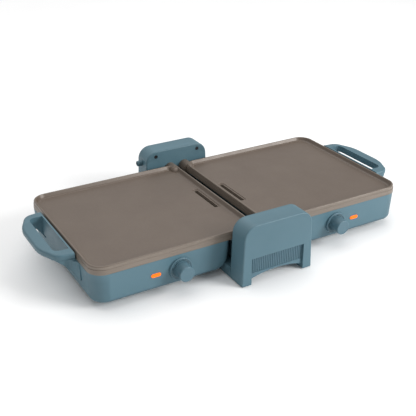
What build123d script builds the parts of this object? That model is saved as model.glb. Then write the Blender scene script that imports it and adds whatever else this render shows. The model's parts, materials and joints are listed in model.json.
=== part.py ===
"""Folding two-zone electric griddle, laid open.

Two mirrored halves hang on a central stand: each half is a cast plate on a moulded casing, and swings
up about its own pivot line until the two cooking surfaces face each other. X runs along the griddle,
the dials face -Y, Z is up, and the origin is under the middle of the stand, on the table.
All lengths are millimetres.
"""
import math
import os

from build123d import *

os.makedirs("parts", exist_ok=True)

# ---------------------------------------------------------------- driving dimensions
plate_span = 560.0  # outer rim to outer rim, both plates
plate_depth = 271.0
plate_gap = 18.0  # between the two inner rims, open
rim_z = 73.5  # top of the rim above the table
rim_height = 13.0
rim_top_width = 3.0
shoulder_z = 67.8  # below it the plate's wall stands a little proud
shoulder_step = 0.35
rim_slope = 30.0  # degrees, inner face of the rim
cooking_drop = 6.5  # rim top to cooking surface
floor_thickness = 4.0
outer_corner_radius = 24.0
inner_corner_radius = 19.0

pivot_x = 14.5
pivot_z = rim_z - 9.7
boss_radius = 10.5
pin_radius = 5.0
pin_bore_radius = 3.0
pin_fit = 0.05  # radial, in the bushes
pin_inner_y = 128.0
pin_end_y = 163.0
lead_bore_inner_y = 114.0  # the lead's bore goes on this far past the pin
sleeve_radius = 11.0
bush_radius = 7.5

casing_bottom_z = 10.4
casing_wall = 2.6
casing_draft = 3.0
casing_inner_x = 58.0  # inner end wall, at the top edge
casing_overhang = 1.2  # casing top edge outside the plate

housing_front_y = 180.8
cover_face_y = 145.0
cover_thickness = 4.0
housing_top_z = 100.5
housing_foot_z = 1.5
housing_top_half = 60.2
housing_foot_half = 64.1
housing_corner_radius = 22.0
housing_wall = 3.0

tray_opening_half = 47.5
tray_opening_top = 45.5

dial_x = 144.0
dial_z = 36.5
lamp_x = 184.0

handle_top_z = 72.5
handle_thickness = 11.5
handle_reach = 326.0
handle_half = 75.5  # half its length along Y, where it leaves the casing

running_gap = 0.3  # between pieces that move past each other
screw_radius = 1.45
screw_fit = 0.05  # radial, in the hole that it bites into
screw_head_radius = 3.0
post_radius = 5.0
past = 1.0  # how far a cut or a join runs past the face that it crosses

# ---------------------------------------------------------------- sizes worked out from them
plate_inner_x = plate_gap / 2
plate_outer_x = plate_span / 2
plate_half = plate_depth / 2
plate_base_z = rim_z - rim_height
cooking_z = rim_z - cooking_drop
plate_under_z = cooking_z - floor_thickness
casing_outer_x = plate_outer_x + casing_overhang
casing_half = plate_half + casing_overhang
casing_floor_z = casing_bottom_z + casing_wall
casing_draft_rate = math.tan(math.radians(casing_draft))
shell_y = cover_face_y + cover_thickness  # joint between a housing's shell and its cover

post_places = [(84, -112), (84, 112), (266, -80), (266, 80)]
foot_places = [(238, -94), (238, 94)]
handle_screw_places = [(-68, 50), (68, 50)]
cover_screw_places = [(-42, 90.2), (42, 90.2), (-56, 32), (56, 32)]
base_screw_places = [(-56, 11), (56, 11)]
stand_foot_places = [(x, y) for x in (-56, 56) for y in (-164, 164)]


def front_plane(x, y, z):
    """Plane at (x, y, z) that looks along -Y, with X to the right."""
    return Plane(origin=(x, y, z), x_dir=(1, 0, 0), z_dir=(0, -1, 0))


def back_plane(x, y, z):
    """Plane at (x, y, z) that looks along +Y."""
    return Plane(origin=(x, y, z), x_dir=(-1, 0, 0), z_dir=(0, 1, 0))


def save(piece, name):
    """Label a finished piece and write its STEP file."""
    piece.label = name
    export_step(piece, f"parts/{name}.step")


def save_pair(piece, name):
    """Write a piece of the right half, and its mirror image for the left half."""
    save(mirror(piece, about=Plane.YZ), f"left_{name}")
    save(piece, f"right_{name}")


def half_plan(z, inner_x, outer_x, half_depth, inner_radius, outer_radius):
    """Plan outline of the right half at height z, with its own inner and outer corner radii."""
    with BuildSketch(Plane.XY.offset(z)) as plan:
        with Locations(((inner_x + outer_x) / 2, 0)):
            Rectangle(outer_x - inner_x, 2 * half_depth)
        if inner_radius:
            fillet(plan.vertices().group_by(Axis.X)[0], inner_radius)
        fillet(plan.vertices().group_by(Axis.X)[-1], outer_radius)
    return plan.sketch


def tube_along(points, radii, radius):
    """Solid round wire or rod along straight runs joined by tangent arcs."""
    with BuildPart() as rod:
        with BuildLine() as route:
            FilletPolyline(*points, radius=radii)
        with BuildSketch(Plane(origin=route.line @ 0, z_dir=route.line % 0)):
            Circle(radius)
        sweep()
    return rod.part


# ================================================================ the right half
# ---------------------------------------------------------------- plate
slot_x = 25.0
slot_y = -4.5
slot_length = 72.0
slot_width = 6.5
slot_dish = 5.0  # how much longer and wider the dished edge of the slot is
spout_wall = 2.5
spout_bottom_z = 55.0
bump_radius = 9.2
bump_reach = 121.0  # the bump's domed end starts here
boss_start_y = plate_half - 12
undercut = 12.5  # along Y, under each bump
plate_wall = 5.0
floor_fillet = 4.0
rim_outer_fillet = 1.7
rim_inner_fillet = 0.8
wall_lean = 4.0  # degrees
flare = shoulder_step + (shoulder_z - plate_base_z) * math.tan(math.radians(wall_lean))

with BuildPart() as plate:
    extrude(
        half_plan(plate_base_z, plate_inner_x - flare, plate_outer_x + flare, plate_half + flare,
                  inner_corner_radius, outer_corner_radius),
        amount=shoulder_z - plate_base_z, taper=wall_lean,
    )
    extrude(
        half_plan(shoulder_z, plate_inner_x, plate_outer_x, plate_half,
                  inner_corner_radius, outer_corner_radius),
        amount=rim_z - shoulder_z, taper=wall_lean / 2,
    )
    slope_run = cooking_drop * math.tan(math.radians(rim_slope))
    inset = rim_top_width + slope_run
    extrude(
        half_plan(cooking_z, plate_inner_x + inset, plate_outer_x - inset, plate_half - inset,
                  inner_corner_radius - inset, outer_corner_radius - inset),
        amount=cooking_drop, taper=-rim_slope, mode=Mode.SUBTRACT,
    )
    level_faces = plate.faces().filter_by(Plane.XY)
    cooking_face = level_faces.filter_by_position(Axis.Z, cooking_z - 0.1, cooking_z + 0.1)
    fillet(cooking_face.edges(), floor_fillet)
    fillet(plate.faces().sort_by(Axis.Z)[-1].outer_wire().edges(), rim_outer_fillet)
    fillet(plate.faces().sort_by(Axis.Z)[-1].inner_wires()[0].edges(), rim_inner_fillet)
    extrude(
        half_plan(plate_base_z, plate_inner_x + plate_wall, plate_outer_x - plate_wall,
                  plate_half - plate_wall, inner_corner_radius - plate_wall,
                  outer_corner_radius - plate_wall),
        amount=plate_under_z - plate_base_z, mode=Mode.SUBTRACT,
    )
    for side in (-1, 1):
        axis_start = Plane(origin=(pivot_x, side * bump_reach, pivot_z), x_dir=(1, 0, 0), z_dir=(0, side, 0))
        with BuildSketch(axis_start):
            Circle(bump_radius)
        extrude(amount=plate_half - 1.5 - bump_reach)
        with Locations((pivot_x, side * bump_reach, pivot_z)):
            Sphere(bump_radius)
        # the bumps show on top only: underneath, the lead comes out of the boss here
        below = side * (boss_start_y - undercut / 2)
        with Locations((pivot_x, below, plate_base_z)):
            Box(24, undercut, 20, align=(Align.CENTER, Align.CENTER, Align.MAX), mode=Mode.SUBTRACT)
        with Locations((plate_inner_x + plate_wall, below, plate_under_z)):
            Box(20, undercut, 5, align=(Align.MIN, Align.CENTER, Align.MAX), mode=Mode.SUBTRACT)
        with BuildSketch(axis_start.offset(boss_start_y - bump_reach)):
            Circle(boss_radius)
        extrude(amount=cover_face_y - running_gap - boss_start_y)
    # the bumps stop at the gap between the plates, the bosses do not
    with Locations((plate_inner_x - flare - 10, 0, rim_z)):
        Box(20, 2 * (plate_half - 13), 60, mode=Mode.SUBTRACT)
    with BuildSketch(Plane.XY.offset(cooking_z - 1.0)):
        with Locations((slot_x, slot_y)):
            SlotOverall(slot_length + slot_dish, slot_width + slot_dish, rotation=90)
    extrude(amount=1.0, taper=-40, mode=Mode.SUBTRACT)
    with BuildSketch(Plane.XY.offset(spout_bottom_z)):
        with Locations((slot_x, slot_y)):
            SlotOverall(slot_length + 2 * spout_wall, slot_width + 2 * spout_wall, rotation=90)
    extrude(amount=plate_under_z + past - spout_bottom_z)
    for x, y in post_places:
        with BuildSketch(Plane.XY.offset(plate_base_z)):
            with Locations((x, y)):
                Circle(post_radius)
        extrude(amount=plate_under_z + past - plate_base_z)
    with BuildSketch(Plane.XY.offset(spout_bottom_z - past)):
        with Locations((slot_x, slot_y)):
            SlotOverall(slot_length, slot_width, rotation=90)
    extrude(amount=rim_z - spout_bottom_z, mode=Mode.SUBTRACT)
    for side in (-1, 1):
        with BuildSketch(Plane(origin=(pivot_x, side * cover_face_y, pivot_z), z_dir=(0, -side, 0))):
            Circle(pin_radius)
        extrude(amount=cover_face_y - pin_inner_y, mode=Mode.SUBTRACT)
        with BuildSketch(Plane(origin=(pivot_x, side * cover_face_y, pivot_z), z_dir=(0, -side, 0))):
            Circle(pin_bore_radius)
        extrude(amount=cover_face_y - lead_bore_inner_y, mode=Mode.SUBTRACT)
    for x, y in post_places:
        with BuildSketch(Plane.XY.offset(plate_base_z - past)):
            with Locations((x, y)):
                Circle(screw_radius + screw_fit)
        extrude(amount=5.0, mode=Mode.SUBTRACT)
save_pair(plate.part, "plate")


# ---------------------------------------------------------------- casing
casing_end_fillet = 22.0  # along the foot of its inner end
casing_foot_fillet = 8.0
vent_count = 12
vent_pitch = 10.0
lens_length = 15.5
lens_height = 5.6
spindle_hole_radius = 5.0


def casing_form(inset, extra_top):
    """Solid with the casing's outer form drawn in by `inset`, and carried `extra_top` past its rim."""
    bottom_z = casing_bottom_z + inset
    height = plate_base_z - bottom_z + extra_top
    drawn_in = (plate_base_z - bottom_z) * casing_draft_rate + inset
    with BuildPart() as form:
        extrude(
            half_plan(bottom_z, casing_inner_x + drawn_in, casing_outer_x - drawn_in,
                      casing_half - drawn_in, 0, outer_corner_radius),
            amount=height, taper=-casing_draft,
        )
        fillet(form.edges().group_by(Axis.Z)[0].sort_by(Axis.X)[0], casing_end_fillet - inset)
        foot_edges = form.faces().sort_by(Axis.Z)[0].edges().sort_by(Axis.X)[1:]
        fillet(foot_edges, casing_foot_fillet - inset)
    return form.part


outer_form = casing_form(0, 0)
with BuildPart() as casing:
    add(outer_form)
    add(casing_form(casing_wall, 2.0), mode=Mode.SUBTRACT)
    for x, y in post_places:
        with BuildSketch(Plane.XY.offset(casing_floor_z - past)):
            with Locations((x, y)):
                Circle(post_radius)
        extrude(amount=plate_base_z - casing_floor_z + past)
    for x, y in post_places:
        with Locations((x, y, casing_bottom_z)):
            Cylinder(4.0, 60, mode=Mode.SUBTRACT)
            Cylinder(screw_radius + 0.2, 120, mode=Mode.SUBTRACT)
    for x, y in foot_places:
        with Locations((x, y, casing_floor_z)):
            Cylinder(3.1, 12, mode=Mode.SUBTRACT)
    with BuildSketch(front_plane(dial_x, -120, dial_z)):
        Circle(spindle_hole_radius)
    extrude(amount=30, mode=Mode.SUBTRACT)
    with BuildSketch(front_plane(lamp_x, -120, dial_z)):
        SlotOverall(lens_length, lens_height)
    extrude(amount=30, mode=Mode.SUBTRACT)
    with BuildSketch(Plane.XY.offset(casing_bottom_z - past)):
        with Locations((170, 0)):
            with GridLocations(vent_pitch, 74, vent_count, 2):
                SlotOverall(46, 3.2, rotation=90)
    extrude(amount=8, mode=Mode.SUBTRACT)
    with BuildSketch(Plane(origin=(240, 0, 0), x_dir=(0, 1, 0), z_dir=(1, 0, 0))):
        with Locations(*handle_screw_places):
            Circle(screw_radius + 0.3)
    extrude(amount=50, mode=Mode.SUBTRACT)
    with BuildSketch(Plane(origin=(50, 100, 56), x_dir=(0, 1, 0), z_dir=(1, 0, 0))):
        Circle(2.8)
    extrude(amount=20, mode=Mode.SUBTRACT)
save_pair(casing.part, "casing")

inner_form = casing_form(casing_wall, 0)

# ---------------------------------------------------------------- handle
handle_back_x = casing_outer_x + 1.7
loop_bottom_z = handle_top_z - handle_thickness
flange_bottom_z = 36.0
flange_face_x = 285.4
grip_inner_x = 307.5
hole_half = 59.0
root_half = 61.0  # the roots start here and run out to the ends of the handle
root_bottom_z = 32.0
flare_half = 88.0  # the roots flare out along the casing to here
handle_back = 275.0  # inside the casing's wall, which is cut away from the handle later
flange_foot_x = 283.0
root_top_z = loop_bottom_z + 2
shoulder_x = 289.0  # corners of its outline, from the casing outwards
bend_x = 309.0
straight_half = 36.0


def handle_plan(z, inset):
    """Outline of the handle in plan at height z, drawn in by `inset`."""
    with BuildSketch(Plane.XY.offset(z)) as plan:
        with BuildLine():
            Polyline(
                (handle_back_x, -handle_half - 1), (shoulder_x, -handle_half), (bend_x, -handle_half + 1.5),
                (handle_reach, -straight_half), (handle_reach, straight_half),
                (bend_x, handle_half - 1.5), (shoulder_x, handle_half), (handle_back_x, handle_half + 1),
                close=True,
            )
        make_face()
        fillet(plan.vertices().group_by(Axis.X)[-1], 60.0)
        fillet(plan.vertices().filter_by_position(Axis.X, bend_x - 1, bend_x + 1), 20.0)
        fillet(plan.vertices().filter_by_position(Axis.X, shoulder_x - 1, shoulder_x + 1), 10.0)
        if inset:
            offset(amount=-inset, mode=Mode.REPLACE)
    return plan.sketch


with BuildPart() as grip:
    extrude(handle_plan(loop_bottom_z, 0), amount=handle_thickness)
    outline_edges = grip.edges().filter_by_position(Axis.X, handle_back_x + 1, 400)
    fillet(outline_edges.group_by(Axis.Z)[0], 5.2)
    outline_edges = grip.edges().filter_by_position(Axis.X, handle_back_x + 1, 400)
    fillet(outline_edges.group_by(Axis.Z)[-1], 3.5)

with BuildPart() as handle:
    # flange against the end of the casing, thickening into a root at each end
    with BuildSketch(front_plane(0, flare_half, 0)):
        with BuildLine():
            Polyline(
                (handle_back, flange_bottom_z), (flange_foot_x, flange_bottom_z),
                (flange_face_x, flange_bottom_z + 5), (flange_face_x, root_top_z),
                (handle_back, root_top_z), close=True,
            )
        make_face()
    extrude(amount=2 * flare_half)
    for root_start in (flare_half, -root_half):
        with BuildSketch(front_plane(0, root_start, 0)):
            with BuildLine():
                Line((handle_back, root_bottom_z), (flange_foot_x, root_bottom_z))
                ThreePointArc((flange_foot_x, root_bottom_z), (291.5, 46), (311, root_top_z))
                Polyline((311, root_top_z), (handle_back, root_top_z), (handle_back, root_bottom_z))
            make_face()
        extrude(amount=flare_half - root_half)
    with BuildSketch(Plane.XY.offset(root_bottom_z - past)):
        add(handle_plan(root_bottom_z - past, 1.2))
        with BuildLine():
            Line((handle_back, -flare_half), (281.6, -flare_half))
            ThreePointArc((281.6, -flare_half), (284.4, -handle_half - 3.4), (294, -handle_half + 1.3))
            Line((294, -handle_half + 1.3), (294, handle_half - 1.3))
            ThreePointArc((294, handle_half - 1.3), (284.4, handle_half + 3.4), (281.6, flare_half))
            Polyline((281.6, flare_half), (handle_back, flare_half), (handle_back, -flare_half))
        make_face()
    extrude(amount=40, mode=Mode.INTERSECT)
    # the flares end under the plate's rim
    for side in (-1, 1):
        with Locations((290, side * (handle_half + 0.6 + 10), plate_base_z - 0.5)):
            Box(40, 20, 20, align=(Align.CENTER, Align.CENTER, Align.MIN), mode=Mode.SUBTRACT)
    add(grip.part)
    with BuildSketch(Plane.XY.offset(root_bottom_z - 2)) as finger_hole:
        with BuildLine():
            Polyline(
                (flange_face_x, -hole_half), (grip_inner_x, -hole_half), (grip_inner_x, hole_half),
                (flange_face_x, hole_half), close=True,
            )
        make_face()
        fillet(finger_hole.vertices().group_by(Axis.X)[-1], 9.0)
    extrude(amount=60, mode=Mode.SUBTRACT)
    with Locations((handle_back_x - 20, 0, plate_base_z + 10)):
        Box(40, 300, 20, mode=Mode.SUBTRACT)
    add(casing_form(0, 0.4), mode=Mode.SUBTRACT)
    with BuildSketch(Plane(origin=(270, 0, 0), x_dir=(0, 1, 0), z_dir=(1, 0, 0))):
        with Locations(*handle_screw_places):
            Circle(screw_radius + screw_fit)
    extrude(amount=19, mode=Mode.SUBTRACT)
save_pair(handle.part, "handle")

# ---------------------------------------------------------------- heating element and what holds it
element_radius = 3.2
element_z = plate_under_z - element_radius - 0.6
element_bend = 14.0
clip_sheet = 1.0
clip_width = 10.0
clip_places = [(150, -96), (150, 96), (190, -36), (190, 36)]
element_plan = [
    (74, -20), (74, -96), (246, -96), (246, -36), (118, -36),
    (118, 36), (246, 36), (246, 96), (74, 96), (74, 20),
]
element_route = [(x, y, element_z) for x, y in element_plan]
save_pair(tube_along(element_route, element_bend, element_radius), "heating_element")

with BuildPart() as element_clips:
    for x, y in clip_places:
        clip_plane = Plane(origin=(x - clip_width / 2, y, plate_under_z), x_dir=(0, 1, 0), z_dir=(1, 0, 0))
        with BuildSketch(clip_plane):
            with Locations((0, -clip_sheet / 2)):
                Rectangle(24, clip_sheet)
            with Locations((0, element_z - plate_under_z)):
                Circle(element_radius + clip_sheet)
                Rectangle(2 * element_radius, 10, align=(Align.CENTER, Align.MIN), mode=Mode.SUBTRACT)
                Circle(element_radius, mode=Mode.SUBTRACT)
            with Locations((0, 5)):
                Rectangle(30, 10, mode=Mode.SUBTRACT)
        extrude(amount=clip_width)
save_pair(element_clips.part, "element_clips")

shield_z = 49.0
shield_sheet = 0.8
dimple_radius = 5.0
dimple_places = [(100, -66), (100, 66), (226, -66), (226, 66)]
with BuildPart() as heat_shield:
    with BuildSketch(Plane.XY.offset(shield_z)):
        with Locations((165, 0)):
            RectangleRounded(186, 208, 10)
        with Locations((72, 0)):
            SlotOverall(64, 24, rotation=90, mode=Mode.SUBTRACT)
    extrude(amount=shield_sheet)
    for x, y in dimple_places:
        with BuildSketch(Plane.XY.offset(shield_z)):
            with Locations((x, y)):
                Circle(dimple_radius)
        extrude(amount=plate_under_z - shield_z)
        with BuildSketch(Plane.XY.offset(shield_z)):
            with Locations((x, y)):
                Circle(dimple_radius - 1)
        extrude(amount=plate_under_z - shield_z - shield_sheet, mode=Mode.SUBTRACT)
save_pair(heat_shield.part, "heat_shield")

# ---------------------------------------------------------------- thermostat, dial and lamp
spindle_radius = 3.0
thermostat_front_y = -126.0
thermostat_radius = 12.0
bracket_half = 24.0
bracket_sheet = 1.5
ring_radius = 18.3
ring_face_y = -139.4
ring_recess = 1.2
knob_base_y = -138.6
knob_face_y = -158.0
knob_skirt_radius = 13.6
knob_skirt = 2.6
knob_radius = 13.0
knob_draft = 3.2  # degrees
flute_count = 36
flat_plane_offset = 5.2  # from the spindle's axis to the middle of the cut that makes its flat

with BuildPart() as thermostat:
    with BuildSketch(front_plane(dial_x, thermostat_front_y + 16, dial_z)):
        Circle(thermostat_radius)
    extrude(amount=16)
    with BuildSketch(front_plane(dial_x, thermostat_front_y + 22, dial_z)):
        with GridLocations(12, 0, 2, 1):
            Rectangle(1.0, 6.0)
    extrude(amount=6.5)
    with BuildSketch(front_plane(dial_x, thermostat_front_y + 12, dial_z)):
        Circle(spindle_radius + screw_fit)
    extrude(amount=14, mode=Mode.SUBTRACT)
save_pair(thermostat.part, "thermostat")

with BuildPart() as thermostat_bracket:
    with BuildSketch(Plane.XY.offset(dial_z - 11)):
        with Locations((dial_x, thermostat_front_y - bracket_sheet / 2)):
            Rectangle(2 * bracket_half, bracket_sheet)
        with Locations((dial_x, thermostat_front_y - 5)):
            with GridLocations(2 * bracket_half - bracket_sheet, 0, 2, 1):
                Rectangle(bracket_sheet, 10)
    extrude(amount=22)
    with BuildSketch(front_plane(dial_x, thermostat_front_y + past, dial_z)):
        Circle(spindle_hole_radius)
    extrude(amount=6, mode=Mode.SUBTRACT)
    add(inner_form, mode=Mode.INTERSECT)
save_pair(thermostat_bracket.part, "thermostat_bracket")

with BuildPart() as dial_ring:
    with BuildSketch(front_plane(dial_x, -131, dial_z)):
        Circle(ring_radius)
    extrude(amount=-ring_face_y - 131)
    fillet(dial_ring.faces().sort_by(Axis.Y)[0].edges(), 1.2)
    with BuildSketch(front_plane(dial_x, ring_face_y + ring_recess, dial_z)):
        Circle(16.4)
        Circle(15.6, mode=Mode.SUBTRACT)
        Circle(14.4)
    extrude(amount=4, mode=Mode.SUBTRACT)
    with BuildSketch(front_plane(dial_x, -120, dial_z)):
        Circle(spindle_hole_radius)
    extrude(amount=30, mode=Mode.SUBTRACT)
    add(outer_form, mode=Mode.SUBTRACT)
save_pair(dial_ring.part, "dial_ring")

with BuildPart() as knob:
    with BuildSketch(front_plane(dial_x, knob_base_y, dial_z)):
        Circle(knob_skirt_radius)
    extrude(amount=knob_skirt)
    with BuildSketch(front_plane(dial_x, knob_base_y - knob_skirt, dial_z)):
        Circle(knob_radius)
    extrude(amount=knob_base_y - knob_skirt - knob_face_y, taper=knob_draft)
    fillet(knob.faces().sort_by(Axis.Y)[0].edges(), 1.4)
    with BuildSketch(front_plane(dial_x, knob_base_y - knob_skirt, dial_z)):
        with PolarLocations(knob_radius + 0.35, flute_count):
            Circle(0.7)
    extrude(amount=12.5, mode=Mode.SUBTRACT)
    with BuildSketch(front_plane(dial_x, knob_base_y + 1, dial_z)):
        Circle(spindle_radius)
        with Locations((0, flat_plane_offset)):
            Rectangle(8, 6, mode=Mode.SUBTRACT)
    extrude(amount=15, mode=Mode.SUBTRACT)
save_pair(knob.part, "knob")

with BuildPart() as spindle:
    with BuildSketch(front_plane(dial_x, thermostat_front_y + 11, dial_z)):
        Circle(spindle_radius)
    extrude(amount=thermostat_front_y + 11 - knob_base_y + 12)
    with BuildSketch(front_plane(dial_x, knob_base_y + 0.6, dial_z)):
        with Locations((0, flat_plane_offset)):
            Rectangle(8, 6)
    extrude(amount=15, mode=Mode.SUBTRACT)
save_pair(spindle.part, "spindle")

with BuildPart() as lamp_lens:
    with BuildSketch(front_plane(lamp_x, -122, dial_z)):
        SlotOverall(lens_length + 3.5, lens_height + 3.4)
    extrude(amount=20)
    add(inner_form, mode=Mode.INTERSECT)
    with Locations((lamp_x, -120, dial_z)):
        Box(24, 21, 24, mode=Mode.SUBTRACT)
    with BuildSketch(front_plane(lamp_x, -131, dial_z)):
        SlotOverall(lens_length, lens_height)
    extrude(amount=6.1)
    fillet(lamp_lens.faces().sort_by(Axis.Y)[0].edges(), 1.0)
save_pair(lamp_lens.part, "lamp_lens")

with BuildPart() as lamp:
    with BuildSketch(front_plane(lamp_x, -118, dial_z)):
        Circle(2.6)
    extrude(amount=12.5)
save_pair(lamp.part, "lamp")

# ---------------------------------------------------------------- fixings and feet of the half
with BuildPart() as casing_screws:
    for x, y in post_places:
        with Locations((x, y, casing_bottom_z + 30)):
            Cylinder(screw_head_radius, 2.2, align=(Align.CENTER, Align.CENTER, Align.MAX))
            Cylinder(screw_radius, 23.5, align=(Align.CENTER, Align.CENTER, Align.MIN))
save_pair(casing_screws.part, "casing_screws")

with BuildPart() as handle_screws:
    with BuildSketch(Plane(origin=(275.5, 0, 0), x_dir=(0, 1, 0), z_dir=(1, 0, 0))):
        with Locations(*handle_screw_places):
            Circle(screw_head_radius)
    extrude(amount=6)
    add(inner_form, mode=Mode.INTERSECT)
    with BuildSketch(Plane(origin=(276, 0, 0), x_dir=(0, 1, 0), z_dir=(1, 0, 0))):
        with Locations(*handle_screw_places):
            Circle(screw_radius)
    extrude(amount=12.5)
save_pair(handle_screws.part, "handle_screws")

foot_radius = 9.0
foot_stud_radius = 3.0
with BuildPart() as feet:
    for x, y in foot_places:
        with Locations((x, y, 0)):
            Cylinder(foot_radius, casing_bottom_z, align=(Align.CENTER, Align.CENTER, Align.MIN))
    fillet(feet.faces().group_by(Axis.Z)[0].edges(), 1.5)
    for x, y in foot_places:
        with Locations((x, y, casing_bottom_z - past)):
            Cylinder(foot_stud_radius, 6, align=(Align.CENTER, Align.CENTER, Align.MIN))
save_pair(feet.part, "feet")

# ---------------------------------------------------------------- pivots
sleeve_end_y = 157.0
bush_end_y = 158.0
clip_start_y = 158.3
clip_thickness = 1.2
clip_groove_radius = 4.2
clip_radius = 8.5
pivot_planes = [Plane(origin=(pivot_x, side * pin_inner_y, pivot_z), x_dir=(1, 0, 0), z_dir=(0, side, 0))
                for side in (-1, 1)]

with BuildPart() as hinge_pins:
    for pivot in pivot_planes:
        with BuildSketch(pivot):
            Circle(pin_radius)
            Circle(pin_bore_radius, mode=Mode.SUBTRACT)
        extrude(amount=pin_end_y - pin_inner_y)
        with BuildSketch(pivot.offset(clip_start_y - pin_inner_y)):
            Circle(pin_radius + 1)
            Circle(clip_groove_radius, mode=Mode.SUBTRACT)
        extrude(amount=clip_thickness, mode=Mode.SUBTRACT)
save_pair(hinge_pins.part, "hinge_pins")

with BuildPart() as hinge_clips:
    for pivot in pivot_planes:
        with BuildSketch(pivot.offset(clip_start_y - pin_inner_y + 0.05)):
            Circle(clip_radius)
            Circle(clip_groove_radius, mode=Mode.SUBTRACT)
            with Locations((0, 6)):
                Rectangle(6.5, 12, mode=Mode.SUBTRACT)
        extrude(amount=clip_thickness - 0.1)
save_pair(hinge_clips.part, "hinge_clips")

# ---------------------------------------------------------------- wiring of the half
block_x = 101.0
block_y = 46.0
block_height = 14.0
with BuildPart() as terminal_block:
    with Locations((block_x, block_y, casing_floor_z + block_height / 2)):
        Box(18, 34, block_height)
    with BuildSketch(Plane.XY.offset(casing_floor_z + block_height)):
        with Locations((block_x, block_y)):
            with GridLocations(9, 11, 2, 3):
                Circle(2.4)
    extrude(amount=-3, mode=Mode.SUBTRACT)
save_pair(terminal_block.part, "terminal_block")

lead_z = pivot_z - 1.4  # it lies in the lower half of the pin's bore
lead_radius = 1.1
lead_bend = 4.0
lead_route = [
    (pivot_x, 161, lead_z), (pivot_x, 122, lead_z), (21, 104, 56.4), (67.5, 99, 56.0),
    (72, 92, 32), (90.5, 52, 25),
]
save_pair(tube_along(lead_route, lead_bend, lead_radius), "lead")


# ================================================================ the stand
def housing_half(z):
    """Half width of a hinge housing at height z."""
    rate = (housing_foot_half - housing_top_half) / (housing_top_z - housing_foot_z)
    return housing_foot_half - (z - housing_foot_z) * rate


face_fillet = 2.2  # round the outer faces of the housings
cover_fillet = 2.5
screw_boss_radius = 4.5
screw_bite = 19.0  # depth of the screw holes
counterbore_radius = 3.5
counterbore = 2.4
stud_hole_radius = 2.6


def housing_profile(y, inset, floor_z):
    """Front view outline of a hinge housing at depth y, drawn in by `inset` and cut off at floor_z."""
    top_z = housing_top_z - inset
    low = housing_half(floor_z) - inset
    high = housing_half(top_z) - inset
    with BuildSketch(front_plane(0, y, 0)) as profile:
        with BuildLine():
            Polyline((-low, floor_z), (low, floor_z), (high, top_z), (-high, top_z), close=True)
        make_face()
        fillet(profile.vertices().group_by(Axis.Y)[-1], housing_corner_radius - inset)
    return profile.sketch


def opening_profile(y, grow):
    """Outline of the drip tray opening at depth y, grown by `grow`."""
    with BuildSketch(front_plane(0, y, 0)) as profile:
        with Locations((0, tray_opening_top + grow)):
            Rectangle(2 * (tray_opening_half + grow), tray_opening_top + grow + 20,
                      align=(Align.CENTER, Align.MAX))
    return profile.sketch


def housing_shell(front):
    """Front housing's shell, open towards the plates; with `front` false, the rear one turned to face -Y."""
    with BuildPart() as shell:
        extrude(housing_profile(-shell_y, 0, housing_foot_z), amount=housing_front_y - shell_y)
        face = shell.faces().sort_by(Axis.Y)[0]
        fillet(face.edges().sort_by(Axis.Z)[1:], face_fillet)
        extrude(housing_profile(-shell_y, housing_wall, housing_foot_z + housing_wall),
                amount=housing_front_y - shell_y - housing_wall, mode=Mode.SUBTRACT)
        with BuildSketch(front_plane(0, -shell_y, 0)):
            with Locations(*cover_screw_places):
                Circle(screw_boss_radius)
        extrude(amount=housing_front_y - shell_y - 1)
        if front:
            extrude(opening_profile(-shell_y, housing_wall), amount=housing_front_y - shell_y - 1)
            extrude(opening_profile(-shell_y + 1, 0), amount=housing_front_y, mode=Mode.SUBTRACT)
            with Locations((0, -shell_y - 15, housing_foot_z - 15)):
                Box(160, 60, 30, mode=Mode.SUBTRACT)
        with BuildSketch(front_plane(0, -shell_y + past, 0)):
            with Locations(*cover_screw_places):
                Circle(screw_radius + screw_fit)
        extrude(amount=screw_bite, mode=Mode.SUBTRACT)
        with BuildSketch(Plane.XY.offset(-past)):
            with Locations(*[(x, y) for x, y in stand_foot_places if y < 0]):
                Circle(stud_hole_radius)
        extrude(amount=7, mode=Mode.SUBTRACT)
    return shell.part


def housing_cover(front):
    """Cover of the front housing, with the sleeves for the pivots; with `front` false, the rear one."""
    with BuildPart() as cover:
        extrude(housing_profile(-cover_face_y, 0, housing_foot_z), amount=cover_thickness)
        face = cover.faces().sort_by(Axis.Y)[-1]
        fillet(face.edges().sort_by(Axis.Z)[1:], cover_fillet)
        if front:
            extrude(opening_profile(-cover_face_y + 5, 0), amount=20, mode=Mode.SUBTRACT)
        with BuildSketch(front_plane(0, -cover_face_y, 0)):
            with Locations((-pivot_x, pivot_z), (pivot_x, pivot_z)):
                Circle(sleeve_radius)
        extrude(amount=sleeve_end_y - cover_face_y)
        with BuildSketch(front_plane(0, -cover_face_y + past, 0)):
            with Locations((-pivot_x, pivot_z), (pivot_x, pivot_z)):
                Circle(bush_radius)
            with Locations(*cover_screw_places):
                Circle(screw_radius + 0.2)
            with Locations(*base_screw_places):
                Circle(screw_radius + 0.2)
        extrude(amount=20, mode=Mode.SUBTRACT)
        with BuildSketch(front_plane(0, -cover_face_y + past, 0)):
            with Locations(*cover_screw_places):
                Circle(counterbore_radius)
        extrude(amount=past + counterbore, mode=Mode.SUBTRACT)
    return cover.part


def turned_to_rear(piece):
    """The same piece at the other end of the stand."""
    return piece.rotate(Axis.Z, 180)


save(housing_shell(True), "front_hinge_housing")
save(housing_cover(True), "front_hinge_cover")

gland_x = -50.0  # inside the wall that it comes out of
gland_y = 165.0
gland_z = 76.0
gland_radius = 5.0
gland_flange_radius = 7.5
cord_bore_radius = 3.2
gland_plane = Plane(origin=(gland_x, gland_y, gland_z), x_dir=(0, 1, 0), z_dir=(-1, 0, 0))
with BuildPart() as rear_housing:
    add(turned_to_rear(housing_shell(False)))
    with BuildSketch(gland_plane):
        Circle(gland_radius)
    extrude(amount=30, mode=Mode.SUBTRACT)
save(rear_housing.part, "rear_hinge_housing")
save(turned_to_rear(housing_cover(False)), "rear_hinge_cover")

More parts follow.
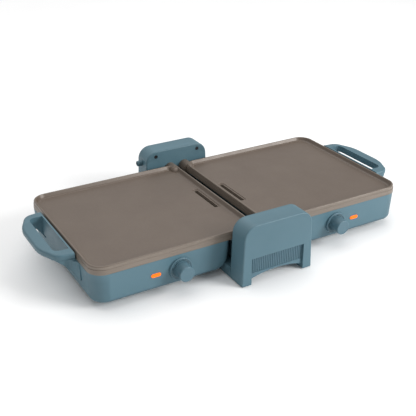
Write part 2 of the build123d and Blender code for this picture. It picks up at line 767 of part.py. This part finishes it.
with BuildPart() as cord_gland:
    with BuildSketch(gland_plane):
        Circle(gland_flange_radius)
    extrude(amount=20)
    extrude(housing_profile(housing_front_y, housing_wall, 20), amount=40, mode=Mode.INTERSECT)
    with Locations((gland_x, gland_y, gland_z)):
        Box(12, 20, 20, mode=Mode.SUBTRACT)
    with BuildSketch(gland_plane.offset(6)):
        Circle(gland_radius)
    extrude(amount=15)
    fillet(cord_gland.faces().sort_by(Axis.X)[0].edges(), 1.8)
    with BuildSketch(gland_plane):
        Circle(cord_bore_radius)
    extrude(amount=30, mode=Mode.SUBTRACT)
save(cord_gland.part, "cord_gland")

with BuildPart() as pivot_bushes:
    for side in (-1, 1):
        for x in (-pivot_x, pivot_x):
            start = Plane(origin=(x, side * cover_face_y, pivot_z), x_dir=(1, 0, 0), z_dir=(0, side, 0))
            with BuildSketch(start):
                Circle(bush_radius)
                Circle(pin_radius + pin_fit, mode=Mode.SUBTRACT)
            extrude(amount=bush_end_y - cover_face_y)
            with BuildSketch(start.offset(sleeve_end_y - cover_face_y)):
                Circle(bush_radius + 2)
                Circle(pin_radius + pin_fit, mode=Mode.SUBTRACT)
            extrude(amount=bush_end_y - sleeve_end_y)
save(pivot_bushes.part, "pivot_bushes")


cover_head_radius = 3.2
cover_head = 1.6
recess_arm = 3.6
recess_width = 0.8


def cover_screws_at(side):
    """Screws that hold a cover to its housing, at the front (side -1) or the rear (side 1)."""
    with BuildPart() as screws:
        for x, z in cover_screw_places:
            head_y = side * (cover_face_y + counterbore)
            head = Plane(origin=(x, head_y, z), x_dir=(1, 0, 0), z_dir=(0, side, 0))
            with BuildSketch(head):
                Circle(cover_head_radius)
            extrude(amount=-cover_head)
            with BuildSketch(head):
                Circle(screw_radius)
            extrude(amount=16)
            with BuildSketch(head.offset(-cover_head)):
                Rectangle(recess_arm, recess_width)
                Rectangle(recess_width, recess_arm)
            extrude(amount=0.9, mode=Mode.SUBTRACT)
    return screws.part


save(Compound(children=[*cover_screws_at(-1).solids(), *cover_screws_at(1).solids()]), "housing_screws")

rail_inner_x = 47.8
rail_top_z = 18.5
web_z = 9.5
web_thickness = 3.0
with BuildPart() as stand_base:
    low_half = housing_half(housing_foot_z)
    high_half = housing_half(rail_top_z)
    for side in (-1, 1):
        with BuildSketch(front_plane(0, cover_face_y, 0)):
            with BuildLine():
                Polyline(
                    (side * rail_inner_x, housing_foot_z), (side * low_half, housing_foot_z),
                    (side * high_half, rail_top_z), (side * rail_inner_x, rail_top_z), close=True,
                )
            make_face()
        extrude(amount=2 * cover_face_y)
    with BuildSketch(Plane.XY.offset(web_z)):
        Rectangle(2 * rail_inner_x + 4, 2 * cover_face_y)
        with Locations((0, -cover_face_y)):
            Rectangle(2 * tray_opening_half - 1, 12)
        with GridLocations(0, 80, 1, 3):
            RectangleRounded(60, 50, 6, mode=Mode.SUBTRACT)
    extrude(amount=web_thickness)
    with BuildSketch(Plane.XY.offset(housing_foot_z - past)):
        with GridLocations(2 * 55.6, 88, 2, 3):
            Rectangle(8.6, 78)
    extrude(amount=rail_top_z - housing_foot_z - 2, mode=Mode.SUBTRACT)
    for side in (-1, 1):
        with BuildSketch(front_plane(0, side * cover_face_y, 0)):
            with Locations(*base_screw_places):
                Circle(screw_radius + screw_fit)
        extrude(amount=12, both=True, mode=Mode.SUBTRACT)
save(stand_base.part, "stand_base")

with BuildPart() as base_screws:
    for side in (-1, 1):
        for x, z in base_screw_places:
            head = Plane(origin=(x, side * shell_y, z), x_dir=(1, 0, 0), z_dir=(0, side, 0))
            with BuildSketch(head):
                Circle(screw_head_radius)
            extrude(amount=1.8)
            with BuildSketch(head):
                Circle(screw_radius)
            extrude(amount=-15)
save(base_screws.part, "base_screws")

with BuildPart() as stand_feet:
    for x, y in stand_foot_places:
        with Locations((x, y, 0)):
            Cylinder(6.0, housing_foot_z, align=(Align.CENTER, Align.CENTER, Align.MIN))
            Cylinder(2.5, housing_foot_z + 4, align=(Align.CENTER, Align.CENTER, Align.MIN))
save(stand_feet.part, "stand_feet")

mains_block_depth = 14.0
mains_block_z = 24.0
with BuildPart() as mains_terminal_block:
    with Locations((0, shell_y + mains_block_depth / 2, mains_block_z)):
        Box(44, mains_block_depth, 16)
    with BuildSketch(back_plane(0, shell_y + mains_block_depth, mains_block_z)):
        with GridLocations(11, 8, 4, 2):
            Circle(2.6)
    extrude(amount=-4, mode=Mode.SUBTRACT)
save(mains_terminal_block.part, "mains_terminal_block")

# ================================================================ the drip tray
tray_half = 45.5
tray_back_y = 140.0
tray_front_y = -171.5
tray_bottom_z = web_z + web_thickness + running_gap
tray_top_z = 43.0
tray_wall = 1.8
panel_face_y = -177.0
panel_half = 46.9
panel_top_z = 45.0
panel_bottom_z = 9.0
panel_arch = 7.0  # rise of its lower edge
rib_pitch = 3.3
rib_count = 27
rib_height = 1.0
rib_bottom_z = 18.6
rib_top_z = 43.2
tray_lip = 3.0
tray_screw_places = [(-24, 0), (24, 0)]
tray_screw_z = 30.0

tray_body_width = 2 * tray_half - 4  # inside its lips

with BuildPart() as drip_tray:
    with BuildSketch(Plane.XY.offset(tray_bottom_z)):
        with Locations((0, (tray_front_y + tray_back_y) / 2)):
            Rectangle(tray_body_width, tray_back_y - tray_front_y)
    extrude(amount=tray_top_z - tray_bottom_z)
    fillet(drip_tray.edges().filter_by(Axis.Z).group_by(Axis.Y)[-1], 8.0)
    fillet(drip_tray.faces().sort_by(Axis.Z)[0].edges(), 3.0)
    inner_length = tray_back_y - tray_front_y - 2 * tray_wall
    with BuildSketch(Plane.XY.offset(tray_bottom_z + tray_wall)) as hollow:
        with Locations((0, (tray_front_y + tray_back_y) / 2)):
            RectangleRounded(tray_body_width - 2 * tray_wall, inner_length, 6)
    extrude(amount=40, mode=Mode.SUBTRACT)
    # rolled lip along the two long edges
    with BuildSketch(Plane.XY.offset(tray_top_z - 2)):
        with Locations((0, -10)):
            with GridLocations(2 * tray_half - tray_lip, 0, 2, 1):
                Rectangle(tray_lip, tray_back_y - tray_front_y - 40)
    extrude(amount=2)
    with BuildSketch(front_plane(0, tray_front_y + 5, tray_screw_z)):
        with Locations(*tray_screw_places):
            Circle(screw_radius + 0.2)
    extrude(amount=6, mode=Mode.SUBTRACT)
save(drip_tray.part, "drip_tray")

with BuildPart() as drip_tray_front:
    with BuildSketch(front_plane(0, tray_front_y, 0)) as panel:
        with BuildLine():
            Polyline((-panel_half, panel_bottom_z), (-panel_half, panel_top_z), (panel_half, panel_top_z),
                     (panel_half, panel_bottom_z))
            ThreePointArc((panel_half, panel_bottom_z), (0, panel_bottom_z + panel_arch),
                          (-panel_half, panel_bottom_z))
        make_face()
        fillet(panel.vertices().group_by(Axis.Y)[-1], 2.0)
    extrude(amount=tray_front_y - panel_face_y)
    with BuildSketch(front_plane(0, panel_face_y + rib_height, (rib_bottom_z + rib_top_z) / 2)):
        Rectangle(91, rib_top_z - rib_bottom_z)
    extrude(amount=2, mode=Mode.SUBTRACT)
    with BuildSketch(Plane.XY.offset(rib_bottom_z)):
        with Locations((0, panel_face_y + rib_height)):
            with GridLocations(rib_pitch, 0, rib_count, 1):
                Ellipse(1.15, rib_height)
    extrude(amount=rib_top_z - rib_bottom_z)
    with Locations(*[(x, tray_front_y, tray_screw_z) for x, _ in tray_screw_places]):
        with Locations(Rotation(90, 0, 0)):
            Cylinder(screw_radius + screw_fit, 7, mode=Mode.SUBTRACT)
save(drip_tray_front.part, "drip_tray_front")

with BuildPart() as tray_screws:
    with BuildSketch(back_plane(0, tray_front_y + tray_wall, tray_screw_z)):
        with Locations(*tray_screw_places):
            Circle(2.8)
    extrude(amount=1.6)
    with BuildSketch(back_plane(0, tray_front_y + tray_wall, tray_screw_z)):
        with Locations(*tray_screw_places):
            Circle(screw_radius)
    extrude(amount=-5)
save(tray_screws.part, "drip_tray_screws")
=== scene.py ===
"""Looks of the folding two-zone griddle: materials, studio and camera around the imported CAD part.

Every piece of the object is a CAD node and keeps its shape. Each material slot of the record has one
function here, and texture coordinates are the row frame's metres, so grain and wear are at real size.
"""

import json
import math

import bpy
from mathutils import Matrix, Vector


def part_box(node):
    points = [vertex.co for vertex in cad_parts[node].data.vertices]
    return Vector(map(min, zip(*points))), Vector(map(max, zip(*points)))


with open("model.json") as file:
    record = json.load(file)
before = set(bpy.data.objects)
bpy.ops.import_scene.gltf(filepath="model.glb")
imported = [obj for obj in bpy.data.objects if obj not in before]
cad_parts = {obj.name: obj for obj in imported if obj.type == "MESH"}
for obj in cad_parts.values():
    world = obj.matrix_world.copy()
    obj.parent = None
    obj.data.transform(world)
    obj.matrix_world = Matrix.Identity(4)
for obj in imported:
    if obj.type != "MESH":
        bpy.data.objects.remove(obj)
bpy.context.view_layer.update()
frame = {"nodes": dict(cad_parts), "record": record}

MM = 0.001
PLATE_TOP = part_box("right_plate")[1].z
RIM_HIGHLIGHT_FROM = PLATE_TOP - 2.2 * MM  # painted highlight: the plate's rim is drawn paler from here up
RIM_HIGHLIGHT_FADE = 0.6 * MM

# base colours, each with its darker or paler partner
SHELL_BLUE = (0.068, 0.141, 0.177)
SHELL_BLUE_DARK = (0.062, 0.131, 0.165)
KNOB_BLUE = (0.077, 0.150, 0.189)
KNOB_BLUE_DARK = (0.071, 0.141, 0.178)
TRAY_BLUE = (0.078, 0.154, 0.195)
TRAY_BLUE_DARK = (0.071, 0.143, 0.182)
COATING = (0.115, 0.086, 0.066)
COATING_HAZE = (0.125, 0.095, 0.073)
COATING_FLECK = (0.168, 0.135, 0.108)
# painted light: the wall and rim take a paler, lit tone of the same taupe coating
WALL_PAINTED_LIT = (0.180, 0.148, 0.120)
WALL_PAINTED_LIT_STREAK = (0.214, 0.178, 0.146)
LENS_ORANGE = (0.80, 0.075, 0.004)
LENS_ORANGE_PALE = (0.88, 0.11, 0.006)
LENS_GLOW = (1.0, 0.22, 0.010)

# studio and camera
WORLD_STRENGTH = 0.52
LIGHTS = [  # name, place, side of the square in metres, watts
    ("overhead", (0.0, 1.2, 3.4), 4.5, 84.0),
    ("key", (1.7, -2.0, 1.25), 1.2, 64.0),
]
LIGHTS_AIM = (0.0, 0.0, 0.05)
FLOOR_SIZE = 60.0
CAMERA_PLACE = (-0.5842, -0.9763, 0.6097)
CAMERA_DOWN = 26.58  # degrees below level
CAMERA_TURN = 30.1  # degrees to the right of +Y
CAMERA_LENS = 64.85
SENSOR_WIDTH = 36.0


# ------------------------------------------------------------------ shader helpers
class Shader:
    """A material's node tree with one Principled BSDF, and short ways to add to it."""

    def __init__(self, name):
        self.material = bpy.data.materials.new(name)
        self.material.use_nodes = True
        self.tree = self.material.node_tree
        self.tree.nodes.clear()
        self.surface = self.tree.nodes.new("ShaderNodeBsdfPrincipled")
        output = self.tree.nodes.new("ShaderNodeOutputMaterial")
        self.tree.links.new(self.surface.outputs["BSDF"], output.inputs["Surface"])
        coordinates = self.tree.nodes.new("ShaderNodeTexCoord")
        self.place = coordinates.outputs["Object"]
        self.normal = coordinates.outputs["Normal"]

    def link(self, source, target):
        """Join two sockets."""
        self.tree.links.new(source, target)

    def noise(self, size, detail=3.0, stretch=None):
        """Noise from 0 to 1 whose features are about `size` metres across."""
        node = self.tree.nodes.new("ShaderNodeTexNoise")
        node.inputs["Scale"].default_value = 1.0 / size
        node.inputs["Detail"].default_value = detail
        if stretch:
            mapping = self.tree.nodes.new("ShaderNodeMapping")
            mapping.inputs["Scale"].default_value = stretch
            self.link(self.place, mapping.inputs["Vector"])
            self.link(mapping.outputs["Vector"], node.inputs["Vector"])
        else:
            self.link(self.place, node.inputs["Vector"])
        return node.outputs["Fac"]

    def ramp(self, value, low, high, start=0.3, end=0.7):
        """Numbers from low to high as value goes from start to end."""
        node = self.tree.nodes.new("ShaderNodeMapRange")
        node.inputs["From Min"].default_value = start
        node.inputs["From Max"].default_value = end
        node.inputs["To Min"].default_value = low
        node.inputs["To Max"].default_value = high
        self.link(value, node.inputs["Value"])
        return node.outputs["Result"]

    def blend(self, factor, first, second):
        """Colour from first to second; either may be a colour or a socket."""
        node = self.tree.nodes.new("ShaderNodeMix")
        node.data_type = "RGBA"
        self.link(factor, node.inputs["Factor"])
        for name, colour in (("A", first), ("B", second)):
            socket = [s for s in node.inputs if s.name == name and s.type == "RGBA"][0]
            if isinstance(colour, tuple):
                socket.default_value = (*colour, 1.0)
            else:
                self.link(colour, socket)
        return [s for s in node.outputs if s.type == "RGBA"][0]

    def add(self, first, second, clamp=False):
        """Sum of two sockets, held within 0 to 1 when clamp is true."""
        node = self.tree.nodes.new("ShaderNodeMath")
        node.operation = "ADD"
        node.use_clamp = clamp
        self.link(first, node.inputs[0])
        self.link(second, node.inputs[1])
        return node.outputs["Value"]

    def bump(self, height, depth, strength=1.0):
        """Raise the surface by up to `depth` metres of height's 0 to 1."""
        node = self.tree.nodes.new("ShaderNodeBump")
        node.inputs["Strength"].default_value = strength
        node.inputs["Distance"].default_value = depth
        self.link(height, node.inputs["Height"])
        self.link(node.outputs["Normal"], self.surface.inputs["Normal"])

    def edges(self, sharpness=12.0):
        """1 on convex edges, 0 elsewhere."""
        geometry = self.tree.nodes.new("ShaderNodeNewGeometry")
        node = self.tree.nodes.new("ShaderNodeMapRange")
        node.inputs["From Min"].default_value = 0.5
        node.inputs["From Max"].default_value = 0.5 + 1.0 / sharpness
        self.link(geometry.outputs["Pointiness"], node.inputs["Value"])
        return node.outputs["Result"]

    def set(self, **values):
        """Put numbers and colours straight onto the Principled BSDF, as in set(metallic=1.0)."""
        for name, value in values.items():
            label = name.replace("_", " ").title().replace("Ior", "IOR")
            socket = self.surface.inputs[label]
            if isinstance(value, tuple):
                socket.default_value = (*value, 1.0)
            elif isinstance(value, (int, float)):
                socket.default_value = value
            else:
                self.link(value, socket)


# ------------------------------------------------------------------ materials, one per slot
def moulded_plastic(name, colour, darker, roughness):
    """Satin moulding with a fine spark-eroded grain, faint flow mottling, and convex edges made paler:
    rubbed wear and a painted highlight.
    """
    s = Shader(name)
    mottle = s.blend(s.ramp(s.noise(60 * MM), 0.0, 1.0), darker, colour)
    # convex edges paler: partly rubbed wear, partly a painted highlight along the edges
    lighter = tuple(min(1.0, c * 1.25 + 0.01) for c in colour)
    s.set(base_color=s.blend(s.ramp(s.edges(), 0.0, 0.5, 0.0, 1.0), mottle, lighter))
    s.set(roughness=s.add(s.ramp(s.noise(25 * MM), roughness - 0.05, roughness + 0.05),
                          s.ramp(s.noise(0.5 * MM), -0.03, 0.03)))
    s.bump(s.noise(0.45 * MM, 2.0), 0.03 * MM, 0.5)
    return s.material


def blue_shell():
    return moulded_plastic("blue_shell", SHELL_BLUE, SHELL_BLUE_DARK, 0.47)


def blue_knob():
    return moulded_plastic("blue_knob", KNOB_BLUE, KNOB_BLUE_DARK, 0.40)


def tray_plastic():
    return moulded_plastic("tray_plastic", TRAY_BLUE, TRAY_BLUE_DARK, 0.48)


def nonstick_plate():
    """Taupe coating on a casting, flecked where food goes; the wall and rim top are painted paler: painted
    light on the wall, painted highlight on the rim.
    """
    s = Shader("nonstick_plate")
    haze = s.ramp(s.noise(70 * MM, 4.0), 0.0, 1.0, 0.35, 0.65)
    inside = s.blend(haze, COATING, COATING_HAZE)
    flecks = s.ramp(s.noise(0.8 * MM, 1.0), 0.0, 1.0, 0.62, 0.70)
    inside = s.blend(flecks, inside, COATING_FLECK)
    # painted light: walls get the paler lit tone, with random horizontal streaks in it
    streaks = s.ramp(s.noise(2.0 * MM, 2.0, (0.05, 0.05, 1.0)), 0.0, 1.0)
    painted_wall_light = s.blend(streaks, WALL_PAINTED_LIT, WALL_PAINTED_LIT_STREAK)
    height = s.tree.nodes.new("ShaderNodeSeparateXYZ")
    s.link(s.place, height.inputs["Vector"])
    facing = s.tree.nodes.new("ShaderNodeSeparateXYZ")
    s.link(s.normal, facing.inputs["Vector"])
    # painted highlight on the rim top, and painted light on every face that does not face up
    rim = s.ramp(height.outputs["Z"], 0.0, 0.35, RIM_HIGHLIGHT_FROM, RIM_HIGHLIGHT_FROM + RIM_HIGHLIGHT_FADE)
    wall = s.ramp(facing.outputs["Z"], 1.0, 0.0, 0.15, 0.35)
    s.set(base_color=s.blend(s.add(rim, wall, clamp=True), inside, painted_wall_light))
    s.set(metallic=0.1, roughness=s.ramp(s.noise(30 * MM, 4.0), 0.36, 0.44))
    s.bump(s.add(s.noise(1.6 * MM, 2.0), s.noise(0.35 * MM, 1.0)), 0.02 * MM, 0.6)
    return s.material


def lamp_orange():
    """Translucent orange lens with a lamp behind it."""
    s = Shader("lamp_orange")
    s.set(base_color=s.blend(s.ramp(s.noise(2 * MM), 0.0, 1.0), LENS_ORANGE, LENS_ORANGE_PALE))
    s.set(roughness=s.ramp(s.noise(1 * MM), 0.3, 0.4), specular_ior_level=0.15)
    s.set(emission_color=LENS_GLOW, emission_strength=0.75)
    s.bump(s.noise(0.8 * MM), 0.02 * MM, 0.4)
    return s.material


def metal(name, colour, darker, roughness, stretch=None, stain=0.0):
    """Bare metal with a brushed or drawn grain, roughness patches and a little tarnish."""
    s = Shader(name)
    tarnish = s.ramp(s.noise(6 * MM, 5.0), 0.0, 1.0, 0.4, 0.7)
    s.set(base_color=s.blend(tarnish, colour, darker))
    s.set(metallic=1.0 - stain, roughness=s.ramp(s.noise(3 * MM, 4.0), roughness - 0.06, roughness + 0.08))
    s.bump(s.noise(0.5 * MM, 3.0, stretch), 0.01 * MM, 0.5)
    return s.material


def bright_steel():
    return metal("bright_steel", (0.58, 0.58, 0.58), (0.46, 0.45, 0.44), 0.3, (1.0, 0.1, 1.0))


def black_screw():
    return metal("black_screw", (0.035, 0.035, 0.04), (0.02, 0.02, 0.02), 0.42, None, 0.4)


def shield_aluminium():
    return metal("shield_aluminium", (0.76, 0.76, 0.77), (0.62, 0.61, 0.60), 0.36, (0.1, 1.0, 1.0))


def element_sheath():
    return metal("element_sheath", (0.17, 0.16, 0.15), (0.09, 0.08, 0.08), 0.5, None, 0.2)


def bronze():
    return metal("bronze", (0.50, 0.32, 0.15), (0.34, 0.21, 0.10), 0.4)


def grainy(name, colour, darker, roughness, grain, depth):
    """Dull non-metal with a grain of the given size, worn lighter in patches."""
    s = Shader(name)
    s.set(base_color=s.blend(s.ramp(s.noise(8 * MM, 4.0), 0.0, 1.0), darker, colour))
    s.set(roughness=s.ramp(s.noise(4 * MM), roughness - 0.06, roughness + 0.06))
    s.bump(s.noise(grain, 3.0), depth, 0.6)
    return s.material


def black_rubber():
    return grainy("black_rubber", (0.035, 0.035, 0.035), (0.02, 0.02, 0.02), 0.8, 0.6 * MM, 0.05 * MM)


def terminal_ceramic():
    return grainy("terminal_ceramic", (0.74, 0.71, 0.64), (0.62, 0.59, 0.52), 0.55, 0.5 * MM, 0.04 * MM)


def thermostat_body():
    return grainy("thermostat_body", (0.10, 0.055, 0.035), (0.07, 0.04, 0.025), 0.35, 0.7 * MM, 0.03 * MM)


def lamp_glass():
    """Thin warm glass of the small lamp behind the lens."""
    s = Shader("lamp_glass")
    s.set(base_color=s.blend(s.ramp(s.noise(3 * MM), 0.0, 1.0), (0.9, 0.55, 0.35), (1.0, 0.7, 0.5)))
    s.set(roughness=s.ramp(s.noise(2 * MM), 0.04, 0.1), transmission_weight=0.8, ior=1.5)
    s.bump(s.noise(1 * MM), 0.01 * MM, 0.3)
    return s.material


def lead_sleeve():
    """Braided glass-fibre sleeve: crossed fine ribs."""
    s = Shader("lead_sleeve")
    weave = s.tree.nodes.new("ShaderNodeTexWave")
    weave.inputs["Scale"].default_value = 400.0
    weave.inputs["Distortion"].default_value = 1.0
    weave.bands_direction = "DIAGONAL"
    s.link(s.place, weave.inputs["Vector"])
    s.set(base_color=s.blend(weave.outputs["Fac"], (0.50, 0.47, 0.40), (0.78, 0.75, 0.68)))
    s.set(roughness=s.ramp(s.noise(2 * MM), 0.7, 0.85))
    s.bump(weave.outputs["Fac"], 0.1 * MM, 0.6)
    return s.material


SLOT_MAKERS = [
    blue_shell, blue_knob, tray_plastic, nonstick_plate, lamp_orange, bright_steel, black_screw,
    shield_aluminium, element_sheath, bronze, black_rubber, terminal_ceramic, thermostat_body,
    lamp_glass, lead_sleeve,
]


def dress_nodes():
    """Give every CAD node the material of its slot."""
    materials = {make.__name__: make() for make in SLOT_MAKERS}
    for subpart in frame["record"]["subparts"]:
        slots = frame["nodes"][subpart["node"]].data.materials
        slots.clear()
        slots.append(materials[subpart["material_slot"]])


# ------------------------------------------------------------------ studio and camera
def pale_floor():
    """Wide, plain, nearly white floor."""
    s = Shader("studio_floor")
    s.set(base_color=s.blend(s.ramp(s.noise(0.4), 0.0, 1.0), (0.95, 0.95, 0.95), (0.97, 0.97, 0.97)))
    s.set(roughness=s.ramp(s.noise(0.2), 0.75, 0.85))
    bpy.ops.mesh.primitive_plane_add(size=FLOOR_SIZE, location=(0.0, 0.0, 0.0))
    floor = bpy.context.object
    floor.name = "floor"
    floor.data.materials.append(s.material)


def soft_light(name, place, size, power):
    """Square area light at `place` that faces the middle of the griddle."""
    light = bpy.data.lights.new(name, "AREA")
    light.shape = "SQUARE"
    light.size = size
    light.energy = power
    lamp = bpy.data.objects.new(name, light)
    lamp.location = place
    lamp.rotation_euler = (Vector(place) - Vector(LIGHTS_AIM)).to_track_quat("Z", "Y").to_euler()
    bpy.context.scene.collection.objects.link(lamp)


def studio():
    """Soft white room: a large overhead panel, a key from the right front, and even light from all round."""
    world = bpy.data.worlds.new("studio")
    world.use_nodes = True
    background = world.node_tree.nodes["Background"]
    background.inputs["Color"].default_value = (1.0, 1.0, 1.0, 1.0)
    background.inputs["Strength"].default_value = WORLD_STRENGTH
    bpy.context.scene.world = world
    for name, place, size, power in LIGHTS:
        soft_light(name, place, size, power)
    bpy.context.scene.view_settings.view_transform = "Standard"


def camera():
    """Stands at the front left and looks a little down on the griddle."""
    data = bpy.data.cameras.new("camera")
    data.sensor_width = SENSOR_WIDTH
    data.lens = CAMERA_LENS
    viewer = bpy.data.objects.new("camera", data)
    viewer.location = CAMERA_PLACE
    viewer.rotation_euler = (math.radians(90.0 - CAMERA_DOWN), 0.0, math.radians(-CAMERA_TURN))
    bpy.context.scene.collection.objects.link(viewer)
    bpy.context.scene.camera = viewer


dress_nodes()
pale_floor()
studio()
camera()
